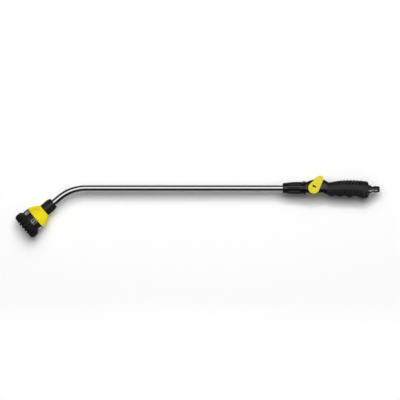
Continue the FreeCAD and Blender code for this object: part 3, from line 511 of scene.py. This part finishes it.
def lever_mark(name, side, centre):
    """A small flow mark on the left (-1) or right (1) cheek of the lever."""
    low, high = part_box("thumb_lever")
    face_y = low[1] if side < 0 else high[1]
    pivot = Vector(joint("lever_turn")["pos_m"])

    def place(u, v, height):
        return Vector((pivot.x + u * MM, face_y + side * height, pivot.z + v * MM))

    path = arc_points(centre, MARK_RADIUS, MARK_START_DEG, MARK_END_DEG, 16)
    mesh = bmesh.new()
    add_strip(mesh, *thick_line(path, mark_width), place)
    finish_mesh(name, mesh, MARK_DARK, "lever")


MARK_WHITE = printed_mark("mark_white", (0.75, 0.75, 0.74), (0.1, 0.1, 0.1))
MARK_GREY = printed_mark("mark_grey", (0.46, 0.46, 0.46), (0.08, 0.08, 0.08))
MARK_DARK = printed_mark("mark_dark", (0.003, 0.003, 0.003), (0.01, 0.008, 0.003), 0.1)


def add_marks():
    dial_low, dial_radius = head_extent("selector_dial")
    ring_low, _ = head_extent("grip_ring")
    centre = (dial_low + ring_low) / 2 + SIGN_SHIFT
    for index in range(len(PATTERN_SIGNS)):
        pattern_sign(index, centre, dial_radius)
    lever_mark("lever_mark_left", -1, LEFT_MARK_CENTRE)
    lever_mark("lever_mark_right", 1, RIGHT_MARK_CENTRE)


# ---- stage -------------------------------------------------------------------------------------
CARD_SIZE = 3.2
CARD_WHITE = 0.93
CARD_GAP = 1.0 * MM  # between the widest part of the object and the card behind it
CARD_SWEEP = 0.35  # radius of the curve between card and floor
FLOOR_DROP = 0.5

# shade on the card close to the object
CONTACT_REACH = 0.042
CONTACT_TILT_DEG = 68.0
CONTACT_FADE = 0.08  # length over which it starts, beside the head


def contact_shade(tree):
    """Deepens the shadow under the grip and the lance, looking upwards from the card."""
    tilt = math.radians(CONTACT_TILT_DEG)
    upwards = add(tree, "ShaderNodeCombineXYZ", {0: 0.0, 1: -math.cos(tilt), 2: math.sin(tilt)})
    links = {"Distance": CONTACT_REACH, "Normal": upwards.outputs[0]}
    sky = add(tree, "ShaderNodeAmbientOcclusion", links, samples=16)
    shade = blend_range(tree, sky.outputs["AO"], 0.82, 1.0, 0.61, 1.0)
    head_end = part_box("neck_nut")[1][0]
    place = add(tree, "ShaderNodeNewGeometry").outputs["Position"]
    across = add(tree, "ShaderNodeSeparateXYZ", {0: place}).outputs["X"]
    weight = blend_range(tree, across, head_end, head_end + CONTACT_FADE)
    lost = maths(tree, "MULTIPLY", weight, maths(tree, "SUBTRACT", 1.0, shade))
    return maths(tree, "SUBTRACT", 1.0, lost)


def card_material():
    """White card with a glowing floor. It only shows its front, so it never hides the object."""
    material, tree, shader = new_material("white_card")
    white = add(tree, "ShaderNodeRGB")
    white.outputs[0].default_value = (CARD_WHITE, CARD_WHITE, CARD_WHITE, 1.0)
    feed(tree, shader, Base_Color=darkened(tree, white.outputs[0], contact_shade(tree)), Roughness=0.9)
    shader.inputs["Specular IOR Level"].default_value = 0.0
    facing = add(tree, "ShaderNodeNewGeometry")
    level = add(tree, "ShaderNodeSeparateXYZ", {0: facing.outputs["Normal"]}).outputs["Z"]
    glow = add(tree, "ShaderNodeEmission", {"Color": (1, 1, 1, 1), "Strength": 1.0})
    floor = blend_range(tree, level, 0.05, 0.45)
    front = add(tree, "ShaderNodeMixShader", {0: floor, 1: shader.outputs[0], 2: glow.outputs[0]})
    clear = add(tree, "ShaderNodeBsdfTransparent")
    back = facing.outputs["Backfacing"]
    mixed = add(tree, "ShaderNodeMixShader", {0: back, 1: front.outputs[0], 2: clear.outputs[0]})
    output = tree.nodes["Material Output"]
    tree.links.new(mixed.outputs[0], output.inputs["Surface"])
    return material


def add_stage(centre, behind_y, floor_z):
    """An upright card close behind the object, running down in a curve into a pale floor."""
    profile = [(behind_y, centre.z + CARD_SIZE)]
    for y, z in arc_points((behind_y - CARD_SWEEP, floor_z + CARD_SWEEP), CARD_SWEEP, 0, -90, 12):
        profile.append((y, z))
    profile.append((behind_y - 2 * CARD_SIZE, floor_z))
    mesh = bmesh.new()
    rows = []
    for y, z in profile:
        rows.append([mesh.verts.new((centre.x + x, y, z)) for x in (-CARD_SIZE, CARD_SIZE)])
    for upper, lower in zip(rows, rows[1:]):
        mesh.faces.new((upper[0], lower[0], lower[1], upper[1]))
    data = bpy.data.meshes.new("backdrop")
    mesh.to_mesh(data)
    mesh.free()
    for face in data.polygons:
        face.use_smooth = True
    data.materials.append(card_material())
    card = bpy.data.objects.new("backdrop", data)
    bpy.context.scene.collection.objects.link(card)
    # it takes shadows, and neither lights the object nor shows in it
    card.visible_diffuse = False
    card.visible_glossy = False
    card.visible_shadow = False
    return card


LIGHT_DISTANCE = 5.0
LIGHT_WIDTH = 3.2
LIGHTS = (
    # name; turn to the right, rise and half height in degrees; watts; whether it lights the card
    # or everything else
    ("card_key", 0, 16, 10, 110.0, True),
    ("card_soft", 0, 29, 17, 136.0, True),
    ("card_fill", 0, 0, 40, 66.0, True),
    ("key", -10, 57, 14, 222.0, False),
    ("low_fill", 50, -40, 10, 235.0, False),
    ("back_fill", 180, 20, 17, 240.0, False),
)

GLINTS = (
    # soft boxes that light and show in the rear end of the handle only, with the columns above
    ("plug_glint", 8, -38, 5, 75.0),
    ("cap_glint", 38, -44, 14, 150.0),
)


def add_area_light(name, centre, turn_deg, rise_deg, half_height_deg, power):
    """A wide soft box. It turns to the right and rises from the view direction."""
    turn, rise = math.radians(turn_deg), math.radians(rise_deg)
    towards = Vector((math.sin(turn) * math.cos(rise), -math.cos(turn) * math.cos(rise), math.sin(rise)))
    data = bpy.data.lights.new(name, "AREA")
    data.shape = "RECTANGLE"
    data.size = LIGHT_WIDTH
    data.size_y = 2 * LIGHT_DISTANCE * math.tan(math.radians(half_height_deg))
    data.energy = power
    light = bpy.data.objects.new(name, data)
    light.location = centre + towards * LIGHT_DISTANCE
    light.rotation_euler = (-towards).to_track_quat("-Z", "Y").to_euler()
    bpy.context.scene.collection.objects.link(light)
    light.visible_glossy = False
    light.visible_camera = False
    return light


def link_light(light, pieces, lit=True):
    """Makes a light fall on these pieces only, or on everything but them."""
    group = bpy.data.collections.new(light.name + "_link")
    for i, piece in enumerate(pieces):
        group.objects.link(piece)
        group.collection_objects[i].light_linking.link_state = "INCLUDE" if lit else "EXCLUDE"
    light.light_linking.receiver_collection = group


SOFT_LIGHT = 0.08
REFLECTED_BANDS = (
    # degrees above the view direction, brightness
    (-180, 0.30),
    (-120, 0.24),
    (-85, 0.07),
    (-62, 0.01),
    (-18, 0.01),
    (-12, 0.92),
    (33, 1.0),
    (39, 0.02),
    (98, 0.02),
    (108, 0.75),
    (180, 0.75),
)


def reflected_bands(tree):
    """Background of bands of light about the X axis, fainter towards the object's two ends."""
    coords = add(tree, "ShaderNodeTexCoord").outputs["Generated"]
    axes = add(tree, "ShaderNodeSeparateXYZ", {0: coords})
    towards = maths(tree, "MULTIPLY", axes.outputs["Y"], -1.0)
    height = maths(tree, "ARCTAN2", axes.outputs["Z"], towards)
    turn = blend_range(tree, height, -math.pi, math.pi)
    ramp = add(tree, "ShaderNodeValToRGB", {0: turn})
    stops = ramp.color_ramp.elements
    while len(stops) < len(REFLECTED_BANDS):
        stops.new(0.5)
    for stop, (degrees, value) in zip(stops, REFLECTED_BANDS):
        stop.position = (degrees + 180) / 360
        stop.color = (value, value, value, 1.0)
    sideways = maths(tree, "ABSOLUTE", axes.outputs["X"])
    fading = blend_range(tree, sideways, 0.12, 0.40, 1.0, 0.45)
    return add(tree, "ShaderNodeBackground", {"Color": ramp.outputs[0], "Strength": fading})


def white_background(tree, strength):
    return add(tree, "ShaderNodeBackground", {"Color": (1, 1, 1, 1), "Strength": strength})


def choose(tree, factor, usual, special):
    """The special background where the factor is 1, and the usual one elsewhere."""
    links = {0: factor, 1: usual.outputs[0], 2: special.outputs[0]}
    return add(tree, "ShaderNodeMixShader", links)


def add_world():
    """White to the eye, faint soft light all round, and banded studio reflections."""
    world = bpy.data.worlds.new("studio")
    bpy.context.scene.world = world
    world.use_nodes = True
    tree = world.node_tree
    tree.nodes.clear()
    path = add(tree, "ShaderNodeLightPath").outputs
    lit = choose(tree, path["Is Glossy Ray"], white_background(tree, SOFT_LIGHT), reflected_bands(tree))
    seen = choose(tree, path["Is Camera Ray"], lit, white_background(tree, 1.0))
    add(tree, "ShaderNodeOutputWorld", {"Surface": seen.outputs[0]})


FRAME_WIDTH = 1.1  # width of view, as a share of the object's length
VIEW_DISTANCE = 4.9
VIEW_SHIFT = Vector((6.0 * MM, 0.0, 16.0 * MM))  # the view's middle, from the middle of the object


def add_camera(centre):
    low, high = cad_box
    data = bpy.data.cameras.new("camera")
    width = FRAME_WIDTH * (high[0] - low[0])
    data.sensor_width = 36.0
    data.lens = data.sensor_width * VIEW_DISTANCE / width
    data.clip_end = 50.0
    camera = bpy.data.objects.new("camera", data)
    camera.location = centre - Vector((0, VIEW_DISTANCE, 0))
    camera.rotation_euler = (math.radians(90), 0, 0)
    bpy.context.scene.collection.objects.link(camera)
    bpy.context.scene.camera = camera


def build_scene():
    low, high = Vector(cad_box[0]), Vector(cad_box[1])
    middle = (low + high) / 2
    centre = Vector((middle.x, 0.0, middle.z)) + VIEW_SHIFT
    dress_frame()
    add_marks()
    card = add_stage(centre, high.y + CARD_GAP, low.z - FLOOR_DROP)
    add_world()
    for name, turn_deg, rise_deg, half_height_deg, power, on_card in LIGHTS:
        light = add_area_light(name, centre, turn_deg, rise_deg, half_height_deg, power)
        link_light(light, [card], on_card)
    rear_end = [frame["nodes"][name] for name in ("end_cap", "hose_plug")]
    for glint in GLINTS:
        light = add_area_light(glint[0], centre, *glint[1:])
        light.visible_glossy = True
        link_light(light, rear_end)
    add_camera(centre)
    scene = bpy.context.scene
    scene.view_settings.view_transform = "Standard"
    scene.view_settings.look = "None"


build_scene()
